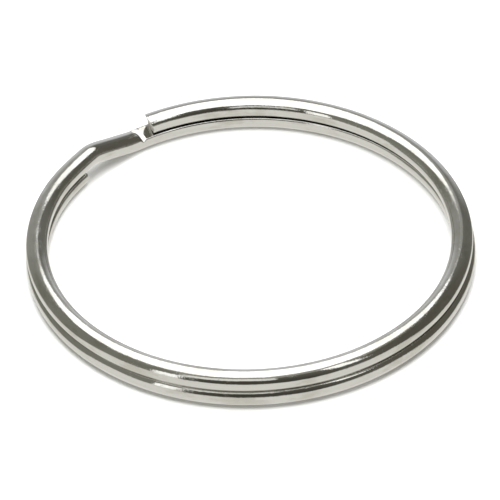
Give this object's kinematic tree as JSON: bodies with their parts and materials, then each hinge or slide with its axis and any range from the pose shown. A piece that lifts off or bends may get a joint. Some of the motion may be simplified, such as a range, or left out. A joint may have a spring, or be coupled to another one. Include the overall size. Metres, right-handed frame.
{
  "type": "split key ring",
  "caption": "Flat split ring of springy plated wire in two overlapping turns joined by a pressed step, opened at either cut end to thread keys on.",
  "frame": {"origin": "centre of the ring's upper turn, on the plane that the ring lies on", "axes": "+Z along the ring's axis, from the lower turn to the upper; +X to the right and +Y to the back when the crank is at the back left"},
  "size_m": [0.0322, 0.0322, 0.0026],
  "materials": {
    "plated_wire": "bright nickel plate with fine tumbling and handling scratches"
  },
  "bodies": {
    "crank": {"crank_step": "plated_wire", "upper_turn_1": "plated_wire", "lower_turn_1": "plated_wire"},
    "upper_2": {"upper_turn_2": "plated_wire"},
    "upper_3": {"upper_turn_3": "plated_wire"},
    "upper_4": {"upper_turn_4": "plated_wire"},
    "upper_5": {"upper_turn_5": "plated_wire"},
    "upper_6": {"upper_turn_6": "plated_wire"},
    "upper_7": {"upper_turn_7": "plated_wire"},
    "upper_8": {"upper_turn_8": "plated_wire"},
    "upper_9": {"upper_turn_9": "plated_wire"},
    "upper_tip": {"upper_tip": "plated_wire"},
    "lower_2": {"lower_turn_2": "plated_wire"},
    "lower_3": {"lower_turn_3": "plated_wire"},
    "lower_4": {"lower_turn_4": "plated_wire"},
    "lower_5": {"lower_turn_5": "plated_wire"},
    "lower_6": {"lower_turn_6": "plated_wire"},
    "lower_7": {"lower_turn_7": "plated_wire"},
    "lower_8": {"lower_turn_8": "plated_wire"},
    "lower_9": {"lower_turn_9": "plated_wire"},
    "lower_tip": {"lower_tip": "plated_wire"}
  },
  "joints": [
    {"name": "upper_twist_1", "type": "hinge", "parent": "crank", "child": "upper_2", "pos_m": [-0.01517, 0.00116, 0.00186], "axis": [-0.0761, -0.9971, 0], "range_deg": [0, 0.32779], "stiffness_Nm_per_rad": 4.3},
    {"name": "upper_twist_2", "type": "hinge", "parent": "upper_2", "child": "upper_3", "pos_m": [-0.01327, -0.00743, 0.00186], "axis": [0.4883, -0.8727, 0], "range_deg": [0, 0.7198], "stiffness_Nm_per_rad": 4.3},
    {"name": "upper_twist_3", "type": "hinge", "parent": "upper_3", "child": "upper_4", "pos_m": [-0.00695, -0.01353, 0.00186], "axis": [0.8895, -0.4569, 0], "range_deg": [0, 1.11], "stiffness_Nm_per_rad": 4.3},
    {"name": "upper_twist_4", "type": "hinge", "parent": "upper_4", "child": "upper_5", "pos_m": [0.0017, -0.01512, 0.00186], "axis": [0.9938, 0.1115, 0], "range_deg": [0, 1.36], "stiffness_Nm_per_rad": 4.3},
    {"name": "upper_twist_5", "type": "hinge", "parent": "upper_5", "child": "upper_6", "pos_m": [0.00978, -0.01165, 0.00186], "axis": [0.7661, 0.6427, 0], "range_deg": [0, 1.39], "stiffness_Nm_per_rad": 4.3},
    {"name": "upper_twist_6", "type": "hinge", "parent": "upper_6", "child": "upper_7", "pos_m": [0.01459, -0.0043, 0.00186], "axis": [0.2826, 0.9592, 0], "range_deg": [0, 1.2], "stiffness_Nm_per_rad": 4.3},
    {"name": "upper_twist_7", "type": "hinge", "parent": "upper_7", "child": "upper_8", "pos_m": [0.01453, 0.00449, 0.00186], "axis": [-0.2952, 0.9554, 0], "range_deg": [0, 0.8355], "stiffness_Nm_per_rad": 4.3},
    {"name": "upper_twist_8", "type": "hinge", "parent": "upper_8", "child": "upper_9", "pos_m": [0.00962, 0.01178, 0.00186], "axis": [-0.7745, 0.6326, 0], "range_deg": [0, 0.43093], "stiffness_Nm_per_rad": 4.3},
    {"name": "upper_twist_9", "type": "hinge", "parent": "upper_9", "child": "upper_tip", "pos_m": [0.0015, 0.01514, 0.00186], "axis": [-0.9951, 0.0985, 0], "range_deg": [0, 0.11755], "stiffness_Nm_per_rad": 4.3},
    {"name": "lower_twist_1", "type": "hinge", "parent": "crank", "child": "lower_2", "pos_m": [0.00083, 0.01529, 0.00079], "axis": [0.9988, -0.0495, 0], "range_deg": [0, 0.30867], "stiffness_Nm_per_rad": 4.3},
    {"name": "lower_twist_2", "type": "hinge", "parent": "lower_2", "child": "lower_3", "pos_m": [0.00922, 0.01228, 0.00079], "axis": [0.8026, -0.5966, 0], "range_deg": [0, 0.69873], "stiffness_Nm_per_rad": 4.3},
    {"name": "lower_twist_3", "type": "hinge", "parent": "lower_3", "child": "lower_4", "pos_m": [0.01451, 0.00512, 0.00079], "axis": [0.3352, -0.9421, 0], "range_deg": [0, 1.09], "stiffness_Nm_per_rad": 4.3},
    {"name": "lower_twist_4", "type": "hinge", "parent": "lower_4", "child": "lower_5", "pos_m": [0.01493, -0.00378, 0.00079], "axis": [-0.2454, -0.9694, 0], "range_deg": [0, 1.35], "stiffness_Nm_per_rad": 4.3},
    {"name": "lower_twist_5", "type": "hinge", "parent": "lower_5", "child": "lower_6", "pos_m": [0.01033, -0.01141, 0.00079], "axis": [-0.743, -0.6692, 0], "range_deg": [0, 1.39], "stiffness_Nm_per_rad": 4.3},
    {"name": "lower_twist_6", "type": "hinge", "parent": "lower_6", "child": "lower_7", "pos_m": [0.00226, -0.01519, 0.00079], "axis": [-0.9897, -0.143, 0], "range_deg": [0, 1.2], "stiffness_Nm_per_rad": 4.3},
    {"name": "lower_twist_7", "type": "hinge", "parent": "lower_7", "child": "lower_8", "pos_m": [-0.00655, -0.01385, 0.00079], "axis": [-0.9021, 0.4316, 0], "range_deg": [0, 0.84099], "stiffness_Nm_per_rad": 4.3},
    {"name": "lower_twist_8", "type": "hinge", "parent": "lower_8", "child": "lower_9", "pos_m": [-0.01312, -0.00783, 0.00079], "axis": [-0.5097, 0.8604, 0], "range_deg": [0, 0.43456], "stiffness_Nm_per_rad": 4.3},
    {"name": "lower_twist_9", "type": "hinge", "parent": "lower_9", "child": "lower_tip", "pos_m": [-0.01524, 0.00082, 0.00079], "axis": [0.0549, 0.9985, 0], "range_deg": [0, 0.11866], "stiffness_Nm_per_rad": 4.3}
  ]
}
